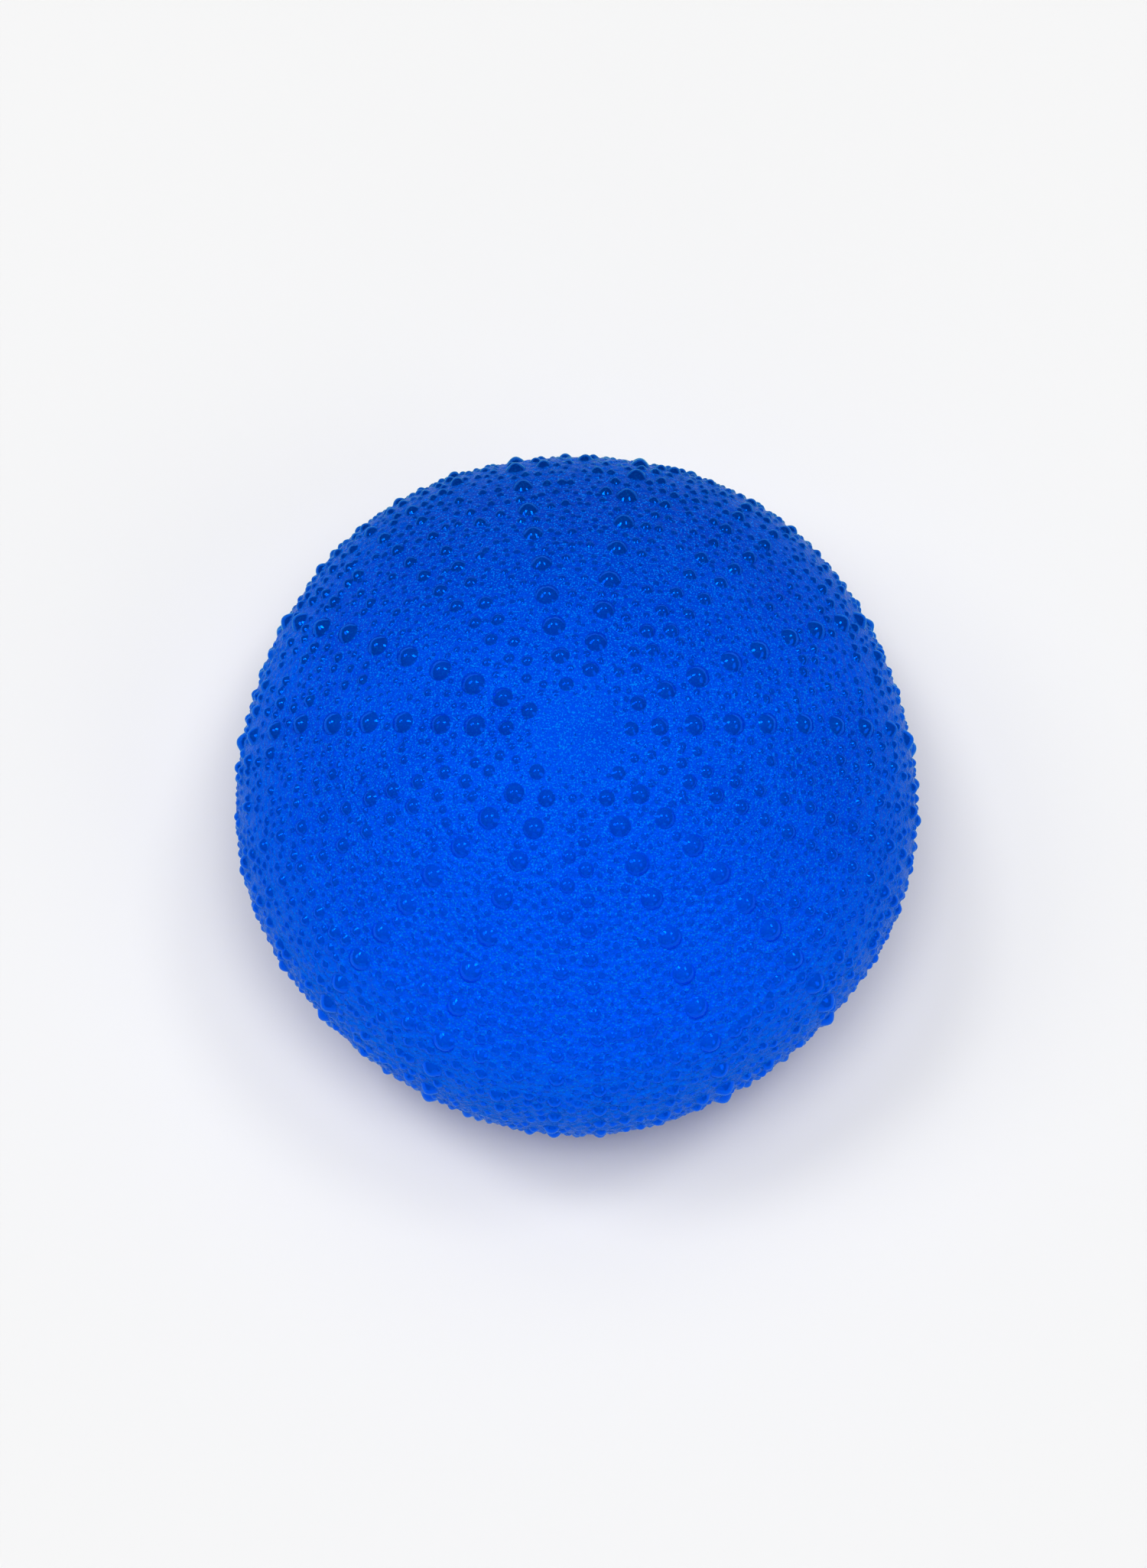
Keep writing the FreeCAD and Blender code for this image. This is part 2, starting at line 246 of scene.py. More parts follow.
# fine grain of cast rubber: a mask for colour, a roughness and a surface direction
def makeRubberGrain():
    group = bpy.data.node_groups.new("rubberGrain", "ShaderNodeTree")
    for label, value in (("Cloud Size", 6.0), ("Grain Size", 0.25), ("Grain Depth", 0.02),
                         ("Roughness Low", 0.3), ("Roughness High", 0.45)):
        group.interface.new_socket(label, in_out="INPUT", socket_type="NodeSocketFloat").default_value = value
    group.interface.new_socket("Cloud", in_out="OUTPUT", socket_type="NodeSocketFloat")
    group.interface.new_socket("Roughness", in_out="OUTPUT", socket_type="NodeSocketFloat")
    group.interface.new_socket("Normal", in_out="OUTPUT", socket_type="NodeSocketVector")
    given = addNode(group, "NodeGroupInput").outputs
    millimetres = vectorCalc(group, "SCALE", addNode(group, "ShaderNodeTexCoord").outputs["Object"])
    millimetres.node.inputs["Scale"].default_value = 1000.0
    cloud = addNode(group, "ShaderNodeTexNoise", {
        "Vector": millimetres, "Scale": calc(group, "DIVIDE", 1.0, given["Cloud Size"]), "Detail": 3.0}).outputs[0]
    grain = addNode(group, "ShaderNodeTexNoise", {
        "Vector": millimetres, "Scale": calc(group, "DIVIDE", 1.0, given["Grain Size"]), "Detail": 2.0,
        "Roughness": 0.6}).outputs[0]
    rough = addNode(group, "ShaderNodeMapRange", {
        "Value": grain, "From Min": 0.3, "From Max": 0.7, "To Min": given["Roughness Low"],
        "To Max": given["Roughness High"]}).outputs["Result"]
    depth = times(group, times(group, grain, given["Grain Depth"]), 0.001)
    bump = addNode(group, "ShaderNodeBump", {"Height": depth, "Distance": 1.0, "Strength": 1.0}).outputs["Normal"]
    addNode(group, "NodeGroupOutput", {"Cloud": times(group, cloud, 1.0), "Roughness": rough,
                                       "Normal": bump})
    return group


rubberGrain = makeRubberGrain()


# where a change of finish begins and ends
finishReach = {
    "foot": (1.06, 0.9),            # as a share of a bump's radius
    "bumpSize": (0.0002, 0.0007),   # a bump's radius in metres
    "top": (0.01, 0.034),           # metres down the outline, as for under and rim
    "front": (0.014, -0.016),       # metres on Y
    "under": (0.046, 0.06),
    "rim": (0.03, 0.047),
    "granule": (0.75, 0.05),
    "cloud": (0.35, 0.65),
}


# the bumps are clear and smooth where the skin between them is cloudy, so they look deeper and glossier; their tint
# fades near the top and on the front, which is painted light
def addBumpFinish(tree, bumps, colour, roughness, grain, depth):
    share = addNode(tree, "ShaderNodeAttribute", attribute_name="share").outputs["Fac"]
    size = addNode(tree, "ShaderNodeAttribute", attribute_name="knobSize").outputs["Fac"]
    lumpy = addNode(tree, "ShaderNodeAttribute", attribute_name="lumpy").outputs["Fac"]
    down = addNode(tree, "ShaderNodeAttribute", attribute_name="down").outputs["Fac"]
    reach = finishReach
    inside = ramp(tree, share, *reach["foot"])
    strength = times(tree, ramp(tree, size, *reach["bumpSize"], bumps["tinyTint"], 1.0), ramp(
        tree, lumpy, 0.0, 1.0, 1.0, bumps["lumpyTint"]))
    # painted light: the tint fades near the top and on the front
    strength = times(tree, strength, ramp(tree, down, *reach["top"], bumps["topTint"], 1.0))
    metres = addNode(tree, "ShaderNodeTexCoord").outputs["Object"]
    along = addNode(tree, "ShaderNodeSeparateXYZ", {0: metres}).outputs["Y"]
    strength = times(tree, strength, ramp(tree, along, *reach["front"], 1.0, bumps["frontTint"]))
    strength = times(tree, strength, ramp(tree, down, *reach["under"], 1.0, bumps["underTint"]))
    tint = addNode(tree, "ShaderNodeMix", data_type="RGBA", blend_type="MULTIPLY")
    tree.links.new(times(tree, inside, strength), tint.inputs["Factor"])
    # painted glints: pale specks in the skin between the bumps, and a painted sheen that makes its lower side paler
    # all over
    rim = ramp(tree, down, *reach["rim"])
    glintNoise = addNode(tree, "ShaderNodeTexNoise", {"Vector": metres, "Scale": 1.0 / bumps["glintSize"],
                                                "Detail": 1.0}).outputs[0]
    paintedGlints = times(tree, ramp(tree, glintNoise, bumps["glintFrom"], bumps["glintTo"]), minus(
        tree, 1.0, times(tree, inside, bumps["glintLoss"])))
    sheenMix = addNode(tree, "ShaderNodeMix", data_type="RGBA")
    paler = times(tree, times(tree, rim, bumps["rimPale"]), minus(tree, 1.0, inside))
    tree.links.new(calc(tree, "MAXIMUM", paintedGlints, paler), sheenMix.inputs["Factor"])
    tree.links.new(colour, sheenMix.inputs[6])
    sheenMix.inputs[7].default_value = (*bumps["paintedSheenColour"], 1.0)
    tree.links.new(sheenMix.outputs[2], tint.inputs[6])
    tint.inputs[7].default_value = (*bumps["shade"], 1.0)
    smooth = addNode(tree, "ShaderNodeMix", {0: inside, 2: roughness, 3: bumps["roughness"]}, data_type="FLOAT")
    polished = times(tree, inside, calc(
        tree, "MULTIPLY_ADD", strength, 1.0 - bumps["leastLustre"], bumps["leastLustre"]))
    lustre = addNode(tree, "ShaderNodeMix", {0: polished, 2: bumps["skinLustre"], 3: bumps["lustre"]},
                     data_type="FLOAT").outputs[0]
    # what a full round has over the mesh's flatter one
    left = calc(tree, "MAXIMUM", minus(tree, 1.0, times(tree, share, share)), 0.0)
    extra = minus(tree, calc(tree, "POWER", left, bumps["edgePower"]), left)
    edge = times(tree, times(tree, extra, size), bumps["edgeHeight"])
    # granules crowd the skin between, most of all where it is lumpy
    swirl = addNode(tree, "ShaderNodeTexNoise", {"Vector": metres, "Scale": 1.0 / bumps["swirlSize"],
                                                 "Detail": 1.0}).outputs["Color"]
    bent = addNode(tree, "ShaderNodeVectorMath", {0: swirl, "Scale": bumps["swirlReach"]},
                   operation="SCALE").outputs[0]
    cells = addNode(tree, "ShaderNodeTexVoronoi", {
        "Vector": vectorCalc(tree, "ADD", metres, bent), "Scale": 1.0 / bumps["granuleGap"],
        "Smoothness": bumps["granuleBlend"]}, feature="SMOOTH_F1").outputs["Distance"]
    granule = times(tree, ramp(tree, cells, *reach["granule"]), bumps["granuleHeight"])
    granule = times(tree, granule, ramp(tree, lumpy, 0.0, 1.0, bumps["granuleElsewhere"], 1.0))
    granule = times(tree, granule, ramp(tree, rim, 0.0, 1.0, 1.0, bumps["granuleRim"]))
    granule = times(tree, granule, minus(tree, 1.0, inside))
    height = plus(tree, edge, granule)
    tree.links.new(ramp(tree, inside, 0.0, 1.0, depth, depth * bumps["grainLeft"]), grain.inputs["Grain Depth"])
    edged = addNode(tree, "ShaderNodeBump", {"Height": height, "Distance": 1.0, "Strength": 1.0,
                                             "Normal": grain.outputs["Normal"]})
    return tint.outputs[2], smooth.outputs[0], edged.outputs["Normal"], lustre


# look: two colours that clouds mix, plus plain numbers for the shader's own sockets
def rubberMaterial(name, look):
    material = bpy.data.materials.new(name)
    material.use_nodes = True
    tree = material.node_tree
    tree.nodes.clear()
    grain = addNode(tree, "ShaderNodeGroup", node_tree=rubberGrain)
    for key, value in look["grain"].items():
        grain.inputs[key].default_value = value
    mixed = addNode(tree, "ShaderNodeMix", data_type="RGBA")
    tree.links.new(ramp(tree, grain.outputs["Cloud"], *finishReach["cloud"]), mixed.inputs["Factor"])
    mixed.inputs[6].default_value = (*look["deep"], 1.0)
    mixed.inputs[7].default_value = (*look["bright"], 1.0)
    colour, roughness = mixed.outputs[2], grain.outputs["Roughness"]
    if "sides" in look:  # painted light and shade: the colour is paler on the front and deeper on the back
        across = addNode(tree, "ShaderNodeSeparateXYZ", {0: addNode(tree, "ShaderNodeTexCoord").outputs["Object"]})
        for paintedSideColour, start, end in look["sides"]:
            shade = addNode(tree, "ShaderNodeMix", data_type="RGBA")
            tree.links.new(ramp(tree, across.outputs["Y"], start, end), shade.inputs["Factor"])
            tree.links.new(colour, shade.inputs[6])
            shade.inputs[7].default_value = (*paintedSideColour, 1.0)
            colour = shade.outputs[2]
    normal = grain.outputs["Normal"]
    shader = addNode(tree, "ShaderNodeBsdfPrincipled", look["shader"])
    if "bumps" in look:
        colour, roughness, normal, lustre = addBumpFinish(tree, look["bumps"], colour, roughness, grain,
                                                          look["grain"]["Grain Depth"])
        tree.links.new(lustre, shader.inputs["Metallic"])
    tree.links.new(colour, shader.inputs["Base Color"])
    tree.links.new(roughness, shader.inputs["Roughness"])
    tree.links.new(normal, shader.inputs["Normal"])
    addNode(tree, "ShaderNodeOutputMaterial", {"Surface": shader.outputs[0]})
    return material


def dress(piece, material):
    piece.data.materials.clear()
    piece.data.materials.append(material)


skinLook = {
    "deep": (0.0, 0.055, 0.67), "bright": (0.0, 0.064, 0.74),
    "sides": [((0.0, 0.082, 0.94), 0.004, -0.034), ((0.0, 0.038, 0.43), 0.006, 0.038)],  # painted light and shade: colour, from and to on Y
    "bumps": {
        "shade": (1.0, 1.3, 1.0),  # what the skin's colour is multiplied by on a bump
        # painted light: the tint is weaker near the top, on the front and on the lumpy front skin
        "tinyTint": 0.5, "topTint": 0.5, "lumpyTint": 0.3, "frontTint": 0.48, "underTint": 0.5,
        "roughness": 0.08,
        "skinLustre": 0.1, "lustre": 0.6, "leastLustre": 0.35,  # lustre is a metallic share, which keeps gloss blue
        # painted sheen: how far the lower side between the bumps is mixed toward the pale colour
        "rimPale": 0.52,
        # painted glints: the size and reach of the pale specks, and the pale colour of both glints and sheen
        "glintSize": 0.00019, "glintFrom": 0.5, "glintTo": 0.72, "paintedSheenColour": (0.0, 0.18, 0.87),
        "glintLoss": 0.7,          # how much fewer the painted glints are on a bump
        "edgePower": 0.55, "edgeHeight": 0.42,
        "granuleGap": 0.0005, "granuleHeight": 0.00007, "granuleBlend": 0.35,
        "granuleElsewhere": 0.8, "granuleRim": 2.2,
        "swirlSize": 1 / 900, "swirlReach": 0.0006,
        "grainLeft": 0.08,         # how much of the skin's grain a bump keeps
    },
    "grain": {"Cloud Size": 7.0, "Grain Size": 0.2, "Grain Depth": 0.07, "Roughness Low": 0.24,
              "Roughness High": 0.36},
    "shader": {"IOR": 1.45, "Specular IOR Level": 0.03, "Specular Tint": (0.0, 1.0, 1.0, 1.0)},
}
linerLook = {
    "deep": (0.5, 0.61, 0.82), "bright": (0.6, 0.7, 0.88),
    "grain": {"Cloud Size": 9.0, "Grain Size": 0.4, "Grain Depth": 0.02, "Roughness Low": 0.2,
              "Roughness High": 0.32},
    "shader": {"IOR": 1.45, "Specular IOR Level": 0.5},
}
gelLook = {
    "deep": (0.06, 0.22, 0.78), "bright": (0.14, 0.34, 0.9),
    "grain": {"Cloud Size": 5.0, "Grain Size": 1.2, "Grain Depth": 0.03, "Roughness Low": 0.08,
              "Roughness High": 0.2},
    "shader": {"IOR": 1.4, "Specular IOR Level": 0.5, "Subsurface Weight": 0.3, "Subsurface Scale": 0.003,
               "Subsurface Radius": (0.2, 0.5, 1.0)},
}
plugLook = {
    "deep": (0.012, 0.03, 0.22), "bright": (0.02, 0.05, 0.32),
    "grain": {"Cloud Size": 3.0, "Grain Size": 0.2, "Grain Depth": 0.03, "Roughness Low": 0.4,
              "Roughness High": 0.55},
    "shader": {"IOR": 1.5, "Specular IOR Level": 0.5},
}
glueLook = {
    "deep": (0.74, 0.73, 0.68), "bright": (0.84, 0.83, 0.79),
    "grain": {"Cloud Size": 2.0, "Grain Size": 0.15, "Grain Depth": 0.02, "Roughness Low": 0.45,
              "Roughness High": 0.65},
    "shader": {"IOR": 1.46, "Specular IOR Level": 0.4},
}
coverLook = {
    "deep": (0.0, 0.058, 0.64), "bright": (0.0, 0.072, 0.74),
    "grain": {"Cloud Size": 4.0, "Grain Size": 0.18, "Grain Depth": 0.04, "Roughness Low": 0.38,
              "Roughness High": 0.52},
    "shader": {"IOR": 1.45, "Specular IOR Level": 0.1, "Specular Tint": (0.0, 1.0, 1.0, 1.0)},
}
skinRubber = rubberMaterial("skinRubber", skinLook)
linerFilm = rubberMaterial("linerFilm", linerLook)
blueGel = rubberMaterial("blueGel", gelLook)
plugRubber = rubberMaterial("plugRubber", plugLook)
glueFilm = rubberMaterial("glueFilm", glueLook)
coverRubber = rubberMaterial("coverRubber", coverLook)
print("materials made")


# the bumpy skin: lengths in metres, angles in degrees
bumpLayout = {
    "First Axis": 90.0,
    "Wide Spread": 10.9,       # from a wide zone's middle line to its columns of big bumps
    "Narrow Spread": 3.8,      # the same in the narrow zones, whose bumps are middling
    "Big Start": 0.0059,
    "Big Step": 0.00445,
    "Big Crowding": 0.0028,    # how much closer the rows stand near the top
    "Big Radius": 0.0012,
    "Big Height": 0.0008,
    "Middle Start": 0.00665,
    "Middle Step": 0.00305,
    "Middle Radius": 0.0008,
    "Middle Height": 0.00056,
    "Small Gap": 0.0014,
    "Small Radius": 0.00047,
    "Small Height": 0.00036,
    "Tiny Gap": 0.00106,
    "Tiny Radius": 0.0003,
    "Tiny Height": 0.0002,
    "Dot Room": 0.00006,       # least bare skin between two dots of different kinds
    "Grain Gap": 0.00078,
    "Grain Radius": 0.00042,
    "Grain Height": 0.00015,
    "Last Row": 0.078,
    "Seed": 287,
}
# how far the five sides swell and the round is drawn out one way, as a share of the radius, and
# the degrees from +X to the first swelling and to the long way
unevenness = {"Lobes": 0.0085, "Lobe Turn": 54.0, "Oval": 0.008, "Oval Turn": 94.0}
# bumps in a column of each kind and small ones beside each, how many degrees the small ones reach
# from a zone's middle line, and their size between the rows and in the narrow zones
rowPlan = {"big": 18, "middle": 24, "beside": 13, "wideReach": 24.5, "narrowReach": 11.0, "betweenShare": 0.78,
           "narrowShare": 0.8}
# how far the bumps stray: down the outline in metres, round Z in degrees, the rest as a share
bumpStray = {
    "bigDown": 0.00022, "bigTurn": 0.45, "bigSize": 0.09,
    "middleDown": 0.0002, "middleTurn": 0.3, "middleSize": 0.13,
    "besideDown": 0.00042, "besideGap": 0.2, "besideLost": 0.09, "besideLeast": 0.7, "besideRange": 0.7,
    "scatteredLeast": 0.62, "scatteredMost": 1.3,
}
# a size's way from one share to another between two places down the outline
bumpGrowth = {
    "bigTop": (0.005, 0.013, 0.68, 1.0),
    "bigUnder": (0.045, 0.075, 1.0, 0.7),
    "middleTop": (0.006, 0.016, 0.62, 1.0),
    "middleUnder": (0.045, 0.075, 1.0, 0.75),
    "besideTop": (0.004, 0.014, 0.7, 1.0),
    "besideSide": (0.022, 0.04, 1.0, 1.45),
    "scatteredSide": (0.026, 0.042, 1.0, 1.7),
}
# the relief between the bumps: the sizes of its noises and how high they stand
skinRelief = {
    "knobShare": 0.05, "knobSpread": 1.9, "bigPower": 1.1, "otherPower": 0.9,
    "bareFrom": 0.003, "bareTo": 0.0052, "bareGrain": 0.35, "bareShrink": 0.6,
    "cloudScale": 70.0, "lumpScale": 1900.0, "lumpHeight": 0.00007,
    "waveScale": 520.0, "waveBend": 1.2, "waveHeight": 0.00022,
    "mostDots": 4.5e6,
    "frontAlong": (-0.004, -0.014), "frontAcross": (0.028, 0.014), "frontDown": (0.042, 0.03), "frontGrain": 0.7,
    "cloudReach": (0.4, 0.65, 0.25, 0.75), "besideBig": (1.0, 1.35), "besideMiddle": (1.0, 1.4),
}


def makeUrchinTree():
    sockets = [("Geometry", "Geometry", None), ("Outline", "Object", None)]
    sockets += [(name, "Int" if name == "Seed" else "Float", value) for name, value in bumpLayout.items()]
    sockets += [(name, "Float", value) for name, value in unevenness.items()] + [("Material", "Material", None)]
    tree = newTree("urchinSkin", sockets)
    given = addNode(tree, "NodeGroupInput").outputs
    index = addNode(tree, "GeometryNodeInputIndex").outputs[0]
    place = addNode(tree, "GeometryNodeInputPosition").outputs[0]
    radiusHere = addNode(tree, "GeometryNodeInputRadius").outputs[0]
    outline = addNode(tree, "GeometryNodeObjectInfo", {"Object": given["Outline"]}).outputs["Geometry"]

    stray, relief = bumpStray, skinRelief

    def seed(number):
        return addNode(tree, "FunctionNodeIntegerMath", {0: given["Seed"], 1: number}, operation="ADD").outputs[0]

    def jitter(reach, number):
        return randomValue(tree, -reach, reach, index, seed(number))

    def grown(value, name):
        return ramp(tree, value, *bumpGrowth[name])

    # five swellings and a slight oval, strongest at the girth
    def lobed(spot):
        parts = addNode(tree, "ShaderNodeSeparateXYZ", {0: spot}).outputs
        turn = calc(tree, "ARCTAN2", parts["Y"], parts["X"])

        def wave(count, amount, start):
            angle = times(tree, minus(tree, turn, calc(tree, "RADIANS", start)), count)
            return times(tree, calc(tree, "COSINE", angle), amount)

        wide = calc(tree, "SQRT", plus(tree, times(tree, parts["X"], parts["X"]), times(
            tree, parts["Y"], parts["Y"])))
        swell = times(tree, plus(tree, wave(5.0, given["Lobes"], given["Lobe Turn"]), wave(
            2.0, given["Oval"], given["Oval Turn"])), ramp(tree, wide, 0.017, ballShape["halfWidth"]))
        grow = plus(tree, 1.0, swell)
        return addNode(tree, "ShaderNodeCombineXYZ", {0: times(tree, parts["X"], grow), 1: times(
            tree, parts["Y"], grow), 2: parts["Z"]}).outputs[0]

    # points on the skin, each at a distance down from the top and a turn about Z
    def spots(count, down, turn, radius, keep):
        sampled = addNode(tree, "GeometryNodeSampleCurve", mode="LENGTH", use_all_curves=True)
        tree.links.new(outline, sampled.inputs["Curves"])
        tree.links.new(down, sampled.inputs["Length"])
        parts = addNode(tree, "ShaderNodeSeparateXYZ", {0: sampled.outputs["Position"]}).outputs
        turned = calc(tree, "RADIANS", turn(parts["X"]))
        spot = addNode(tree, "ShaderNodeCombineXYZ", {
            0: times(tree, parts["X"], calc(tree, "COSINE", turned)),
            1: times(tree, parts["X"], calc(tree, "SINE", turned)), 2: parts["Z"]}).outputs[0]
        made = addNode(tree, "GeometryNodePoints", {"Count": count, "Position": lobed(spot), "Radius": radius})
        kept = addNode(tree, "GeometryNodeDeleteGeometry", {"Geometry": made.outputs[0], "Selection": minus(
            tree, 1.0, keep(parts["X"]))}, domain="POINT")
        return kept.outputs[0]

    # distance to the nearest dot of a set, and that dot's radius
    def nearestDot(dots):
        found = addNode(tree, "GeometryNodeSampleNearest", {"Geometry": dots}, domain="POINT").outputs[0]

        def sample(value, kind):
            taken = addNode(tree, "GeometryNodeSampleIndex", data_type=kind, domain="POINT")
            tree.links.new(dots, taken.inputs["Geometry"])
            tree.links.new(value, taken.inputs["Value"])
            tree.links.new(found, taken.inputs["Index"])
            return [s for s in taken.outputs if s.enabled][0]

        return vectorCalc(tree, "DISTANCE", place, sample(place, "FLOAT_VECTOR")), sample(radiusHere, "FLOAT")

    def nearest(dots):
        away, radius = nearestDot(dots)
        return calc(tree, "DIVIDE", away, radius), radius

    # drops the dots of one set that would touch a dot of another
    def cleared(dots, others):
        away, radius = nearestDot(others)
        room = minus(tree, minus(tree, away, radius), radiusHere)
        return addNode(tree, "GeometryNodeDeleteGeometry", {"Geometry": dots, "Selection": calc(
            tree, "LESS_THAN", room, given["Dot Room"])}, domain="POINT").outputs[0]

    # which side spot, row, zone and side of the zone an index stands for
    def places(rows, side):
        spot = calc(tree, "FLOORED_MODULO", index, float(side))
        plate = calc(tree, "FLOOR", calc(tree, "DIVIDE", plus(tree, index, 0.5), float(side)))
        row = calc(tree, "FLOORED_MODULO", plate, float(rows))
        column = calc(tree, "FLOOR", calc(tree, "DIVIDE", plus(tree, plate, 0.5), float(rows)))
        zone = calc(tree, "FLOOR", calc(tree, "DIVIDE", plus(tree, column, 0.25), 2.0))
        hand = minus(tree, times(tree, calc(tree, "FLOORED_MODULO", column, 2.0), 2.0), 1.0)
        return spot, row, zone, hand

    # rows alternate across a zone's middle line: one side stands half a step lower, which one differs by zone
    def rowCount(row, zone, hand, number):
        flip = calc(tree, "GREATER_THAN", randomValue(tree, 0.0, 1.0, zone, seed(number)), 0.5)
        lower = calc(tree, "COMPARE", calc(tree, "GREATER_THAN", hand, 0.0), flip, 0.1)
        return plus(tree, row, times(tree, lower, 0.5))

    def bigDown(row):
        spread = minus(tree, 1.0, calc(tree, "EXPONENT", calc(tree, "DIVIDE", row, -1.4)))
        return minus(tree, calc(tree, "MULTIPLY_ADD", row, given["Big Step"], given["Big Start"]), times(
            tree, given["Big Crowding"], spread))

    def middleDown(row):
        return calc(tree, "MULTIPLY_ADD", row, given["Middle Step"], given["Middle Start"])

    zoneWidth, halfZone = 72.0, 36.0  # degrees

    def zoneAxis(zone, shift):
        return plus(tree, calc(tree, "MULTIPLY_ADD", zone, zoneWidth, given["First Axis"]), shift)

    def inRange(down):
        return calc(tree, "LESS_THAN", down, given["Last Row"])

    # the columns of big bumps, which are smaller by the top and on the underside
    bigRows, middleRows, sideSpots = rowPlan["big"], rowPlan["middle"], rowPlan["beside"]
    spot, row, zone, hand = places(bigRows, 1)
    down = plus(tree, bigDown(rowCount(row, zone, hand, 1)), jitter(stray["bigDown"], 2))
    swing = plus(tree, times(tree, hand, given["Wide Spread"]), jitter(stray["bigTurn"], 3))
    growth = times(tree, grown(down, "bigTop"), grown(down, "bigUnder"))
    size = times(tree, times(tree, given["Big Radius"], growth), plus(tree, 1.0, jitter(stray["bigSize"], 4)))
    bigDots = spots(10 * bigRows, down, lambda r: zoneAxis(zone, swing), size, lambda r: inRange(down))

    # the columns of middling bumps in the narrow zones
    spot, row, zone, hand = places(middleRows, 1)
    down = plus(tree, middleDown(rowCount(row, zone, hand, 5)), jitter(stray["middleDown"], 6))
    swing = plus(tree, times(tree, hand, given["Narrow Spread"]), jitter(stray["middleTurn"], 7))
    growth = times(tree, grown(down, "middleTop"), grown(down, "middleUnder"))
    size = times(tree, times(tree, given["Middle Radius"], growth), plus(tree, 1.0, jitter(stray["middleSize"], 8)))
    middleDots = spots(10 * middleRows, down, lambda r: zoneAxis(zone, plus(tree, swing, halfZone)),
                       size, lambda r: inRange(down))

    # small bumps stand in rows beside each big or middling one, as far as its zone reaches
    def sideDots(rows, downOf, shift, spread, reach, first, gap, sizeShare, half):
        spot, row, zone, hand = places(rows, sideSpots)
        lowered = plus(tree, rowCount(row, zone, hand, first), half)
        down = plus(tree, downOf(lowered), jitter(stray["besideDown"], first + 10))
        aside = times(tree, plus(tree, minus(tree, spot, (sideSpots - 1) / 2), plus(
            tree, jitter(stray["besideGap"], first + 11), 0.5 if half else 0.0)), gap)

        def swing(r):
            turned = calc(tree, "DEGREES", calc(tree, "DIVIDE", aside, calc(tree, "MAXIMUM", r, 0.002)))
            return times(tree, hand, plus(tree, spread, turned))

        def keep(r):
            inside = times(tree, swing(r), hand)
            allowed = times(tree, calc(tree, "GREATER_THAN", inside, 0.6), calc(tree, "LESS_THAN", inside, reach))
            lucky = calc(tree, "GREATER_THAN", randomValue(tree, 0.0, 1.0, index, seed(first + 12)),
                         stray["besideLost"])
            return times(tree, times(tree, allowed, lucky), inRange(down))

        chance = randomValue(tree, 0.0, 1.0, index, seed(first + 13))
        size = times(tree, times(tree, given["Small Radius"], sizeShare), plus(
            tree, stray["besideLeast"], times(tree, calc(tree, "POWER", chance, 1.6), stray["besideRange"])))
        size = times(tree, size, grown(down, "besideTop"))
        size = times(tree, size, grown(down, "besideSide"))
        return spots(10 * rows * sideSpots, down, lambda r: zoneAxis(zone, plus(tree, swing(r), shift)), size, keep)

    wide, narrow, smallGap = given["Wide Spread"], given["Narrow Spread"], given["Small Gap"]
    smallDots = [
        sideDots(bigRows, bigDown, 0.0, wide, rowPlan["wideReach"], 1, smallGap, 1.0, 0.0),
        sideDots(bigRows, bigDown, 0.0, wide, rowPlan["wideReach"], 1, smallGap, rowPlan["betweenShare"], 0.5),
        sideDots(middleRows, middleDown, halfZone, narrow, rowPlan["narrowReach"], 5, smallGap,
                 rowPlan["narrowShare"], 0.0),
    ]
    smallJoin = addNode(tree, "GeometryNodeJoinGeometry")
    for dots in smallDots:
        tree.links.new(dots, smallJoin.inputs[0])
    smallDots = cleared(cleared(smallJoin.outputs[0], bigDots), middleDots)

    # the outside of the shell swells into its five lobes before anything is raised on it
    outside = addNode(tree, "GeometryNodeInputNamedAttribute", {"Name": "outside"}, data_type="FLOAT").outputs[0]
    downRun = addNode(tree, "GeometryNodeInputNamedAttribute", {"Name": "down"}, data_type="FLOAT").outputs[0]
    moved = vectorCalc(tree, "SUBTRACT", lobed(place), place)
    moved = addNode(tree, "ShaderNodeVectorMath", {0: moved, "Scale": outside}, operation="SCALE").outputs[0]
    shell = addNode(tree, "GeometryNodeSetPosition", {"Geometry": given["Geometry"], "Offset": moved}).outputs[0]

    # tiny bumps and low grains lie everywhere between
    def scattered(gap, radius, number):
        found = addNode(tree, "GeometryNodeDistributePointsOnFaces", {
            "Mesh": shell, "Distance Min": gap, "Density Max": relief["mostDots"], "Density Factor": outside,
            "Seed": seed(number)}, distribute_method="POISSON").outputs[0]
        size = times(tree, radius, randomValue(
            tree, stray["scatteredLeast"], stray["scatteredMost"], index, seed(number + 1)))
        size = times(tree, size, grown(downRun, "scatteredSide"))
        return addNode(tree, "GeometryNodeSetPointRadius", {"Points": found, "Radius": size}).outputs[0]

    grainDots = scattered(given["Grain Gap"], given["Grain Radius"], 40)
    tinyDots = cleared(cleared(cleared(scattered(
        given["Tiny Gap"], given["Tiny Radius"], 42), bigDots), middleDots), smallDots)

    # a round dome over share 0 to 1, steep at its foot
    def dome(share, power):
        left = calc(tree, "MAXIMUM", minus(tree, 1.0, times(tree, share, share)), 0.0)
        return calc(tree, "POWER", left, power)

    def sized(height, radius, whole):
        return times(tree, height, calc(tree, "DIVIDE", radius, whole))

    # the little bumps shrink away on the nearly bare disc at the very top
    offTop = ramp(tree, downRun, relief["bareFrom"], relief["bareTo"])
    bigShare, bigRadius = nearest(bigDots)
    middleShare, middleRadius = nearest(middleDots)
    smallShare, smallRadius = nearest(smallDots)
    tinyShare, tinyRadius = nearest(tinyDots)
    grainShare, grainRadius = nearest(grainDots)
    bareTop = times(tree, minus(tree, 1.0, offTop), relief["bareShrink"])
    smallShare = plus(tree, smallShare, bareTop)
    tinyShare = plus(tree, tinyShare, bareTop)

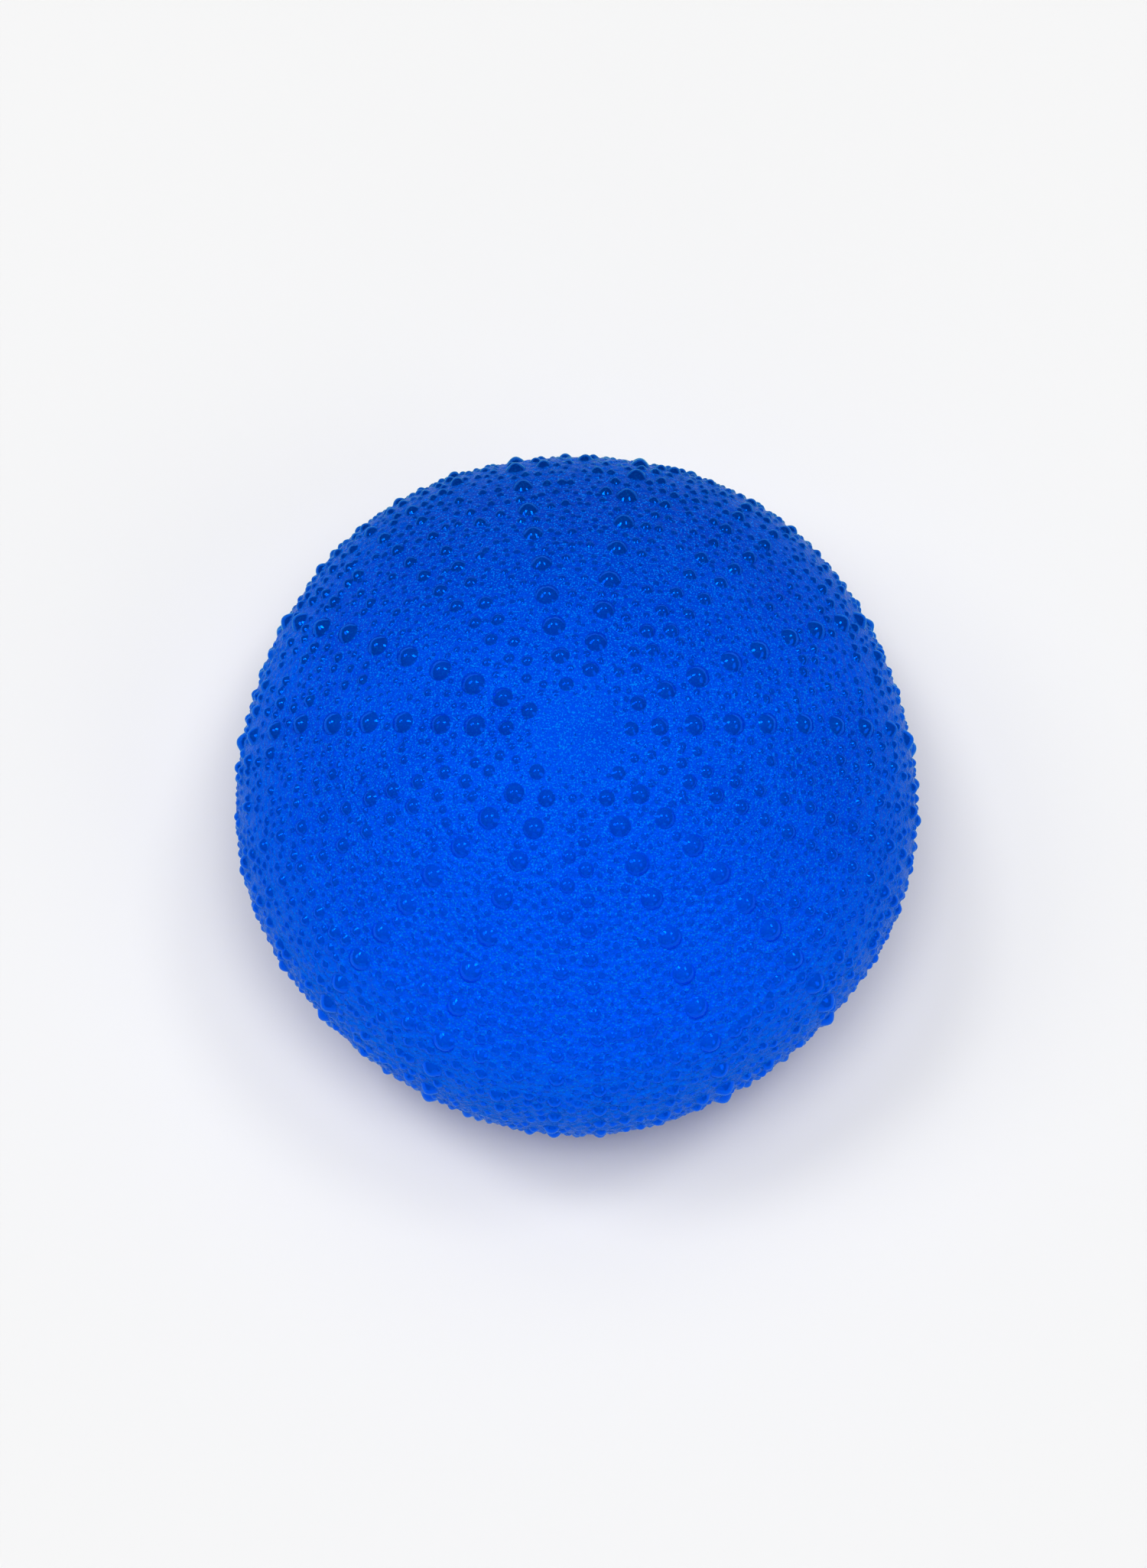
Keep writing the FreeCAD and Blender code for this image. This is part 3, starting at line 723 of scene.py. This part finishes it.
    # a big bump has a slight knob on its dome, and the others are plain domes
    knob = dome(times(tree, bigShare, relief["knobSpread"]), 1.0)
    bigRise = times(tree, sized(given["Big Height"], bigRadius, given["Big Radius"]), plus(
        tree, times(tree, dome(bigShare, relief["bigPower"]), 1.0 - relief["knobShare"]), times(
            tree, knob, relief["knobShare"])))

    def plainRise(kind, share, radius):
        return times(tree, sized(given[kind + " Height"], radius, given[kind + " Radius"]), dome(
            share, relief["otherPower"]))

    middleRise = plainRise("Middle", middleShare, middleRadius)
    smallRise = plainRise("Small", smallShare, smallRadius)
    tinyRise = plainRise("Tiny", tinyShare, tinyRadius)

    # the least share of any bump and that bump's size, which the material reads to draw a crisp edge
    share, knobSize = tinyShare, tinyRadius
    for nextShare, nextRadius in ((smallShare, smallRadius), (middleShare, middleRadius), (bigShare, bigRadius)):
        nearer = calc(tree, "LESS_THAN", nextShare, share)
        knobSize = addNode(tree, "ShaderNodeMix", {0: nearer, 2: knobSize, 3: nextRadius},
                           data_type="FLOAT").outputs[0]
        share = calc(tree, "MINIMUM", share, nextShare)

    # grains are strongest on the front and where a slow cloud says, and fade beside the big bumps
    parts = addNode(tree, "ShaderNodeSeparateXYZ", {0: place}).outputs
    cloud = addNode(tree, "ShaderNodeTexNoise", {"Vector": place, "Scale": relief["cloudScale"],
                                                 "Detail": 1.0}).outputs[0]
    front = times(tree, ramp(tree, parts["Y"], *relief["frontAlong"]), ramp(tree, calc(
        tree, "ABSOLUTE", parts["X"]), *relief["frontAcross"]))
    front = times(tree, front, ramp(tree, downRun, *relief["frontDown"]))
    strength = plus(tree, ramp(tree, cloud, *relief["cloudReach"]), times(tree, front, relief["frontGrain"]))
    clear = times(tree, ramp(tree, bigShare, *relief["besideBig"]), ramp(
        tree, middleShare, *relief["besideMiddle"]))
    grainRise = times(tree, times(tree, sized(
        given["Grain Height"], grainRadius, given["Grain Radius"]), dome(grainShare, 1.0)), times(
        tree, strength, clear))
    lumps = addNode(tree, "ShaderNodeTexNoise", {"Vector": place, "Scale": relief["lumpScale"],
                                                 "Detail": 2.0}).outputs[0]
    lumpRise = times(tree, times(tree, lumps, relief["lumpHeight"]), times(tree, strength, clear))

    # the disc at the very top is wavy
    waves = addNode(tree, "ShaderNodeTexNoise", {"Vector": place, "Scale": relief["waveScale"], "Detail": 2.0,
                                                 "Distortion": relief["waveBend"]}).outputs[0]
    topRise = times(tree, times(tree, waves, relief["waveHeight"]), minus(tree, 1.0, offTop))
    fine = plus(tree, times(tree, plus(tree, grainRise, lumpRise), ramp(
        tree, offTop, 0.0, 1.0, relief["bareGrain"], 1.0)), topRise)
    tall = calc(tree, "MAXIMUM", calc(tree, "MAXIMUM", bigRise, middleRise), calc(
        tree, "MAXIMUM", smallRise, tinyRise))
    rise = times(tree, calc(tree, "MAXIMUM", tall, fine), outside)
    normal = addNode(tree, "GeometryNodeInputNormal").outputs[0]
    push = addNode(tree, "ShaderNodeVectorMath", {0: normal, "Scale": rise}, operation="SCALE").outputs[0]
    kept = shell
    bare = times(tree, minus(tree, 1.0, outside), 2.0)
    for name, value in (("share", calc(tree, "MINIMUM", plus(tree, share, bare), 2.0)), (
            "knobSize", knobSize), ("lumpy", front)):
        kept = addNode(tree, "GeometryNodeStoreNamedAttribute", {
            "Geometry": kept, "Name": name, "Value": value}, data_type="FLOAT").outputs[0]
    raised = addNode(tree, "GeometryNodeSetPosition", {"Geometry": kept, "Offset": push}).outputs[0]
    # nothing goes below the table
    parts = addNode(tree, "ShaderNodeSeparateXYZ", {0: place}).outputs
    level = addNode(tree, "ShaderNodeCombineXYZ", {0: parts["X"], 1: parts["Y"], 2: calc(
        tree, "MAXIMUM", parts["Z"], 0.0)}).outputs[0]
    raised = addNode(tree, "GeometryNodeSetPosition", {"Geometry": raised, "Position": level}).outputs[0]
    real = addNode(tree, "GeometryNodeRealizeInstances", {"Geometry": raised}).outputs[0]
    dressed = addNode(tree, "GeometryNodeSetMaterial", {"Geometry": real, "Material": given["Material"]}).outputs[0]
    addNode(tree, "NodeGroupOutput", {"Geometry": dressed})
    return tree


# the lengths of the skin's faces, how many stand in a ring, and over what length the bumps fade at the mouth
meshDetail = {"step": 0.00019, "underStep": 0.00028, "rimStep": 0.00013, "recessStep": 0.0006, "insideStep": 0.0016,
              "most": 1280, "sparsest": 0.000125, "fade": 0.003}


def makeSkin():
    shape = ballShape
    detail = meshDetail
    outer = domeRun(shape, 0.0, detail["step"], detail["underStep"])
    rim = shape["mouthRim"]
    foot = cornerRun([outer[-1], (shape["mouthRadius"] + rim, 0.0)], detail["underStep"])
    rounding = arcPoints((shape["mouthRadius"] + rim, rim), rim, -math.pi / 2, -math.pi, detail["rimStep"])[1:]
    outside = outer + foot
    wall, top = shape["skin"], shape["bossTop"]
    boss = shape["mouthRadius"] + wall
    inner = domeRun(shape, wall, detail["insideStep"])
    recess = cornerRun([rounding[-1], (shape["mouthRadius"], shape["ledgeHeight"]),
                        (shape["seatRadius"], shape["ledgeHeight"]), (shape["seatRadius"], shape["seatHeight"]),
                        (shape["portRadius"], shape["seatHeight"]), (shape["portRadius"], top), (boss, top),
                        (boss, wall), inner[-1]], detail["recessStep"])
    run = outside + rounding + recess + inner[::-1][1:]
    mesh = turnedMesh("urchinSkin", run, detail["most"], detail["sparsest"])
    # how far each point lies down the outside, and whether bumps may rise there
    down, total = [0.0], 0.0
    for (r0, z0), (r1, z1) in zip(run, run[1:]):
        total += math.hypot(r1 - r0, z1 - z0)
        down.append(total)
    last = len(outside) - 1
    ringOf = {}
    for number, (r, z) in enumerate(run):
        ringOf.setdefault((round(r, 8), round(z, 8)), number)
    downValue = mesh.attributes.new("down", "FLOAT", "POINT")
    outsideValue = mesh.attributes.new("outside", "FLOAT", "POINT")
    for number, vertex in enumerate(mesh.vertices):
        key = (round(math.hypot(vertex.co.x, vertex.co.y), 8), round(vertex.co.z, 8))
        ring = ringOf.get(key)
        if ring is None:
            near = min(range(len(run)), key=lambda i: abs(run[i][0] - key[0]) + abs(run[i][1] - key[1]))
            ring = ringOf[key] = near
        downValue.data[number].value = down[ring]
        left = (down[last] - down[ring]) / detail["fade"]
        outsideValue.data[number].value = min(1.0, max(0.0, left)) if ring <= last else 0.0
    skin = addPiece("urchin_skin", mesh)

    # the outline as a curve, which the tree reads to place its bumps
    line = bpy.data.curves.new("outlineRun", "CURVE")
    line.dimensions = "3D"
    spline = line.splines.new("POLY")
    spline.points.add(len(outer) - 1)
    for number, (r, z) in enumerate(outer):
        spline.points[number].co = (r, 0.0, z, 1.0)
    guide = addPiece("outline_guide", line)
    bakeTree(skin, makeUrchinTree(), {**bumpLayout, **unevenness, "Outline": guide, "Material": skinRubber})
    dropCurve(guide)
    skin.data.shade_smooth()
    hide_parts("skin_crown", "skin_wall", "skin_base")
    return skin


skin = makeSkin()
print("skin:", len(skin.data.polygons), "faces")


# the liner bag and the gel, which follow the skin's inside
lining = {"gap": 0.0002, "film": 0.0006, "neckGap": 0.0001, "lipRadius": 0.0084, "step": 0.0011, "most": 160,
          "sparsest": 0.0006}


def makeLiner():
    shape, fit = ballShape, lining
    outside = shape["skin"] + fit["gap"]
    inside = outside + fit["film"]
    boss = shape["mouthRadius"] + shape["skin"] + fit["gap"]
    over = shape["bossTop"] + fit["gap"]
    neck = shape["portRadius"] - fit["neckGap"]
    lip = shape["seatHeight"] - fit["neckGap"]
    outer = domeRun(shape, outside, fit["step"])
    inner = domeRun(shape, inside, fit["step"])
    film = fit["film"]
    path = cornerRun([outer[-1], (boss, outside), (boss, over), (neck, over), (neck, lip), (fit["lipRadius"], lip),
                      (fit["lipRadius"], lip - film), (neck - film, lip - film), (neck - film, over + film),
                      (boss + film, over + film), (boss + film, inside), inner[-1]], fit["step"])
    mesh = turnedMesh("linerBag", outer + path + inner[::-1][1:], fit["most"], fit["sparsest"])
    liner = addPiece("liner_bag", mesh)
    dress(liner, linerFilm)
    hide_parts("inner_liner")
    return liner


def makeGel():
    shape, fit = ballShape, lining
    inset = shape["skin"] + 2 * fit["gap"] + fit["film"]
    boss = shape["mouthRadius"] + inset
    over = shape["bossTop"] + 2 * fit["gap"] + fit["film"]
    outer = domeRun(shape, inset, fit["step"])
    path = cornerRun([outer[-1], (boss, inset), (boss, over), (0.0, over)], fit["step"])
    gel = addPiece("gel_core", turnedMesh("gelCore", outer + path, fit["most"], fit["sparsest"]))
    dress(gel, blueGel)
    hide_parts("gel_filling")
    return gel


liner = makeLiner()
gel = makeGel()
print("liner and gel made")


# the cover disc, with a soft edge, a shallow dish and a ring
coverShape = {"radius": 0.0118, "low": 0.0006, "high": 0.0016, "dish": 0.0003, "edge": 0.00028, "ringAt": 0.0088,
              "ringWidth": 0.0007, "ringHeight": 0.00012, "topStep": 0.0008, "edgeStep": 0.00009, "sideStep": 0.0002,
              "dishSteps": 60, "most": 192, "sparsest": 0.00025}


def makeCover():
    shape = coverShape
    radius, low, high, edge = shape["radius"], shape["low"], shape["high"], shape["edge"]
    run = [(0.0, high)]
    run += cornerRun([(0.0, high), (radius - edge, high)], shape["topStep"])
    run += arcPoints((radius - edge, high - edge), edge, math.pi / 2, 0, shape["edgeStep"])[1:]
    run += cornerRun([run[-1], (radius, low + edge)], shape["sideStep"])
    run += arcPoints((radius - edge, low + edge), edge, 0, -math.pi / 2, shape["edgeStep"])[1:]
    steps = shape["dishSteps"]
    start = radius - edge
    for number in range(1, steps + 1):
        r = start * (1 - number / steps)
        share = r / start
        dish = shape["dish"] * (1 - share ** 2)
        ring = shape["ringHeight"] * math.exp(-((r - shape["ringAt"]) / (shape["ringWidth"] / 2)) ** 2)
        run.append((r, low + dish - ring * min(1.0, dish / 0.0001)))
    run[-1] = (0.0, run[-1][1])
    cover = addPiece("mouth_cover", turnedMesh("mouthCover", run, shape["most"], shape["sparsest"]))
    dress(cover, coverRubber)
    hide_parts("cover_disc")
    return cover


cover = makeCover()
dress(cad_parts["fill_plug"], plugRubber)
dress(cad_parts["disc_adhesive"], glueFilm)
print("cover, plug and adhesive dressed")

# what moves: the crown goes down, the foot stays, everything between flexes; here the soft pieces are baked in place
# and the cover is attached to the base
for soft in (skin, liner, gel):
    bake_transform(soft)
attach(cover, "base")


tablePlan = {"halfSide": 1.5, "colour": (0.785, 0.785, 0.785), "roughness": 0.9, "specular": 0.1}


def makeStage():
    mesh = bpy.data.meshes.new("tableTop")
    far = tablePlan["halfSide"]
    mesh.from_pydata([(-far, -far, 0), (far, -far, 0), (far, far, 0), (-far, far, 0)], [], [(0, 1, 2, 3)])
    table = addPiece("table_top", mesh)
    paper = bpy.data.materials.new("paleTable")
    paper.use_nodes = True
    shader = paper.node_tree.nodes["Principled BSDF"]
    shader.inputs["Base Color"].default_value = (*tablePlan["colour"], 1.0)
    shader.inputs["Roughness"].default_value = tablePlan["roughness"]
    shader.inputs["Specular IOR Level"].default_value = tablePlan["specular"]
    dress(table, paper)


# each lamp is a far, wide panel: its bearing and height in degrees, how wide it looks, and its strength
lightPlan = {
    "roofPanel": (0.0, 90.0, 36.0, 1.36),
    "leftLamp": (200.0, 74.0, 20.0, 0.34),
    "rightLamp": (-20.0, 74.0, 20.0, 0.36),
    "leftPoint": (144.0, 60.0, 14.0, 0.42),
    "rightPoint": (36.0, 60.0, 14.0, 0.38),
    "rightWindow": (-28.0, 38.0, 30.0, 0.22),
    "frontLow": (-90.0, 10.0, 40.0, 0.16),
    "backWindow": (150.0, 55.0, 20.0, 0.16),
    "leftWindow": (170.0, 45.0, 20.0, 0.27),
    "backLamp": (115.0, 50.0, 15.0, 0.08),
    "backPanel": (75.0, 52.0, 24.0, 0.14),
}
# these stay out of mirror rays, where they would blur the two small bright points on each bump
unmirrored = ("roofPanel", "leftLamp", "rightLamp", "backWindow", "backLamp", "backPanel")
worldPlan = {"seen": 0.9, "reflected": 0.08, "ambient": 0.11}  # strength for the camera, for gloss and as light


def makeLights():
    for name, (bearing, height, width, strength) in lightPlan.items():
        panel = bpy.data.lights.new(name, "SUN")
        panel.energy = strength
        panel.angle = math.radians(width)
        piece = addPiece(name, panel)
        piece.location = (0.0, 0.0, 0.5)
        piece.rotation_euler = (0.0, math.radians(90.0 - height), math.radians(bearing))
        piece.visible_glossy = name not in unmirrored


def makeWorld():
    world = bpy.data.worlds.new("studio")
    bpy.context.scene.world = world
    world.use_nodes = True
    tree = world.node_tree
    rays = addNode(tree, "ShaderNodeLightPath").outputs
    seen = addNode(tree, "ShaderNodeMix", {0: rays["Is Camera Ray"], 2: worldPlan["ambient"],
                                           3: worldPlan["seen"]}, data_type="FLOAT").outputs[0]
    mirrored = calc(tree, "MAXIMUM", rays["Is Glossy Ray"], rays["Is Transmission Ray"])
    level = addNode(tree, "ShaderNodeMix", {0: mirrored, 2: seen, 3: worldPlan["reflected"]},
                    data_type="FLOAT").outputs[0]
    back = tree.nodes["Background"]
    back.inputs["Color"].default_value = (1.0, 1.0, 1.0, 1.0)
    tree.links.new(level, back.inputs["Strength"])


# elevation is measured up from the table in front of the ball
cameraPlan = {"elevation": 76.0, "distance": 0.40, "aim": (-0.00035, 0.0005, 0.0174), "lens": 83.3, "sensor": 36.0,
              "nearest": 0.01}


def makeCamera():
    data = bpy.data.cameras.new("camera")
    data.lens = cameraPlan["lens"]
    data.sensor_width = cameraPlan["sensor"]
    data.clip_start = cameraPlan["nearest"]
    camera = addPiece("camera", data)
    tilt = math.radians(cameraPlan["elevation"])
    aim, away = cameraPlan["aim"], cameraPlan["distance"]
    camera.location = (aim[0], aim[1] - away * math.cos(tilt), aim[2] + away * math.sin(tilt))
    camera.rotation_euler = (math.pi / 2 - tilt, 0.0, 0.0)
    bpy.context.scene.camera = camera


makeStage()
makeLights()
makeWorld()
makeCamera()
bpy.context.scene.view_settings.view_transform = "Standard"
print("stage, lights and camera set")
